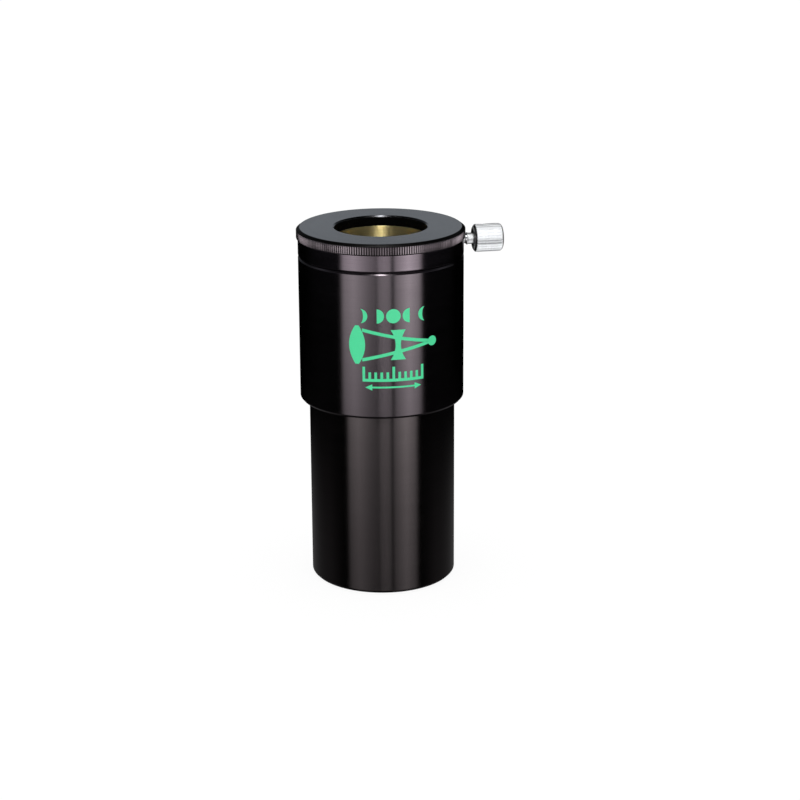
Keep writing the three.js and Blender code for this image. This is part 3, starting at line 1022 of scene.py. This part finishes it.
def low_dome(turn, rise):
    """Place and brightness on the low dome. Turn and rise are in radians."""
    azimuth = FRONT + turn
    flat = DOME_R * np.cos(rise)
    spot = [flat * np.cos(azimuth), flat * np.sin(azimuth), TOP_Z * MM + DOME_R * np.sin(rise)]
    return np.stack(spot, axis=-1), stops_at(DOME_STOPS, np.degrees(turn))


# A strip light that runs from the front up overhead. Sides are (degrees to its side, brightness),
# and rises are (degrees, share of it). It makes the highlights on the brass and on the seam.
STRIP_SIDES = ((-15, 0), (-9, 2), (-4.5, 3.2), (-3.2, 48), (3.2, 48), (4.5, 3.2), (9, 2), (15, 0))
STRIP_RISES = ((32, 1), (52, 1), (62, 0.65), (82, 0.65))
STRIP_R = 0.5


def overhead_strip(side, rise):
    """Place and brightness on the strip light. Side and rise are in radians."""
    forward, right = STRIP_R * np.cos(side) * np.cos(rise), STRIP_R * np.sin(side)
    sine, cosine = math.sin(CAMERA_AZIMUTH), math.cos(CAMERA_AZIMUTH)
    height = SEAM_Z * MM + STRIP_R * np.cos(side) * np.sin(rise)
    spot = [cosine * right + sine * forward, sine * right - cosine * forward, height]
    level = stops_at(STRIP_SIDES, np.degrees(side)) * stops_at(STRIP_RISES, np.degrees(rise))
    return np.stack(spot, axis=-1), level


# A small tent round the thumbscrew, as (degrees up from the front, brightness): white, with two
# narrow gaps in front and a dark back. Its inner end is a black ring, so that the tube doesn't see
# in.
TENT_STOPS = (
    (-180, 0.16), (-150, 0.16), (-138, 0.04), (-100, 0.04), (-88, 0.7), (-70, 0.97), (-29, 0.97),
    (-26, 0.2), (-21, 0.2), (-18, 0.97), (-13, 0.97), (-10, 0.15), (-5, 0.15), (-2, 0.97),
    (46, 0.92), (78, 0.84), (90, 0.5), (112, 0.4), (122, 0.06), (142, 0.06), (154, 0.16),
    (180, 0.16),
)
TENT_R, TENT_MOUTH_R = 9.0, 4.6
TENT_START, TENT_END = 30.6, 52.0
TENT_RING, TENT_CAP = 0.1, 0.9  # shares of the way along it where the ring ends and the cap starts
TENT_CAP_LEVEL = 0.05
TENT_TINT = (0.98, 1, 1.01)


def tent(around, along):
    """Place and brightness on the tent, along it from the inner ring to the cap that closes it."""
    radius = np.interp(along, (0, TENT_RING, TENT_CAP, 1), (TENT_MOUTH_R, TENT_R, TENT_R, 0))
    x = np.interp(along, (TENT_RING, TENT_CAP), (TENT_START, TENT_END))
    spot = np.stack([x, -radius * np.cos(around), SCREW_Z + radius * np.sin(around)], axis=-1)
    level = stops_at(TENT_STOPS, np.degrees(around))
    level = np.where(along > TENT_CAP, TENT_CAP_LEVEL, np.where(along < TENT_RING, 0, level))
    return spot * MM, level


def light_sheet(name, surface, across, up, material, tint=(1, 1, 1)):
    """A sheet that only reflections see. surface(across, up) gives places and brightness."""
    u, v = np.meshgrid(across, up)
    spots, levels = surface(u, v)
    index = np.arange(u.size).reshape(u.shape)
    quads = np.stack(
        [index[:-1, :-1], index[:-1, 1:], index[1:, 1:], index[1:, :-1]], axis=-1
    ).reshape(-1, 4)
    faces = [list(map(int, quad)) for quad in quads]
    mesh = bpy.data.meshes.new(name)
    mesh.from_pydata([tuple(p) for p in spots.reshape(-1, 3)], [], faces)
    colours = (levels[..., None] * np.array(tint)).astype(np.float32)
    glow = mesh.attributes.new("glow", "FLOAT_VECTOR", "POINT")
    glow.data.foreach_set("vector", colours.ravel())
    sheet = bpy.data.objects.new(name, mesh)
    bpy.context.scene.collection.objects.link(sheet)
    mesh.materials.append(material)
    sheet.visible_camera = False
    sheet.visible_diffuse = False
    sheet.visible_transmission = False
    sheet.visible_shadow = False


def glow_material(name, one_sided=False):
    """A light with its colour stored on the points of its sheet. A one-sided one is black behind."""
    material = bpy.data.materials.new(name)
    material.use_nodes = True
    material.node_tree.nodes.clear()
    level = material.node_tree.nodes.new("ShaderNodeAttribute")
    level.attribute_name = "glow"
    strength = 1.0
    if one_sided:
        behind = material.node_tree.nodes.new("ShaderNodeNewGeometry").outputs["Backfacing"]
        strength = math_node(material, "SUBTRACT", 1.0, behind)
    light = node(material, "ShaderNodeEmission", Strength=strength, Color=level.outputs["Vector"])
    output = material.node_tree.nodes.new("ShaderNodeOutputMaterial")
    material.node_tree.links.new(light.outputs[0], output.inputs[0])
    return material


def reflections():
    """The sheets, each on a grid fine enough for the narrowest of its stops."""
    glow = glow_material("sheet_light")
    turns = np.linspace(-math.pi, math.pi, 721)
    heights = np.linspace(WALL_LOW, WALL_HIGH, 61)
    light_sheet("wall", wall, turns, heights, glow, WALL_TINT)
    turns = np.linspace(0, TURN, 73)
    rises = np.radians(np.linspace(DOME_LOW, DOME_HIGH, 15))
    light_sheet("low_dome", low_dome, turns, rises, glow, DOME_TINT)
    sides = np.radians(np.linspace(STRIP_SIDES[0][0], STRIP_SIDES[-1][0], 61))
    rises = np.radians(np.linspace(STRIP_RISES[0][0], STRIP_RISES[-1][0], 21))
    light_sheet("overhead_strip", overhead_strip, sides, rises, glow)
    turns = np.linspace(-math.pi, math.pi, 181)
    shares = np.linspace(0, 1, 41)
    tent_glow = glow_material("tent_light", one_sided=True)
    light_sheet("knob_tent", tent, turns, shares, tent_glow, TENT_TINT)


FLOOR_SIZE = 30
FLOOR_Z = -0.0002  # just under the nose, so that the two don't touch


def floor():
    """A plain white floor, lit so evenly that only a trace of shadow shows at the foot."""
    bpy.ops.mesh.primitive_plane_add(size=FLOOR_SIZE, location=(0, 0, FLOOR_Z))
    plane = bpy.context.object
    plane.name = "floor"
    plane.data.materials.append(shader(
        "floor_white",
        Base_Color=(0.12, 0.12, 0.12, 1),
        Roughness=0.9,
        Specular_IOR_Level=0.0,
        Emission_Color=(1, 1, 1, 1),
        Emission_Strength=0.9,
    ))
    plane.visible_glossy = False


def world():
    """White to the eye and to matt surfaces, and dark in reflections."""
    sky = bpy.data.worlds.new("studio")
    bpy.context.scene.world = sky
    sky.use_nodes = True
    nodes, link = sky.node_tree.nodes, sky.node_tree.links.new
    nodes.clear()
    seen = nodes.new("ShaderNodeBackground")
    seen.inputs[0].default_value = (1, 1, 1, 1)
    mirrored = nodes.new("ShaderNodeBackground")
    mirrored.inputs[0].default_value = (0, 0, 0, 1)
    path = nodes.new("ShaderNodeLightPath")
    mix = nodes.new("ShaderNodeMixShader")
    link(path.outputs["Is Glossy Ray"], mix.inputs[0])
    link(seen.outputs[0], mix.inputs[1])
    link(mirrored.outputs[0], mix.inputs[2])
    output = nodes.new("ShaderNodeOutputWorld")
    link(mix.outputs[0], output.inputs[0])


def studio():
    """Everything round the part."""
    camera()
    floor()
    world()
    reflections()
    bpy.context.scene.view_settings.view_transform = "Standard"


# ------------------------------------------------------------------ everything

nose_barrel()
main_housing()
clamp_collar()
split_ring("collar_brass_ring", "collar_clamp_ring", "collar_ring", 0.9, 3.0)
adapter_flange()
adapter_sleeve()
split_ring("adapter_brass_ring", "adapter_clamp_ring", "adapter_ring", 1.2, 2.5)
push_pin()
screw_knob()
screw_stud()
screw_tip()
optics()
graphic()
studio()
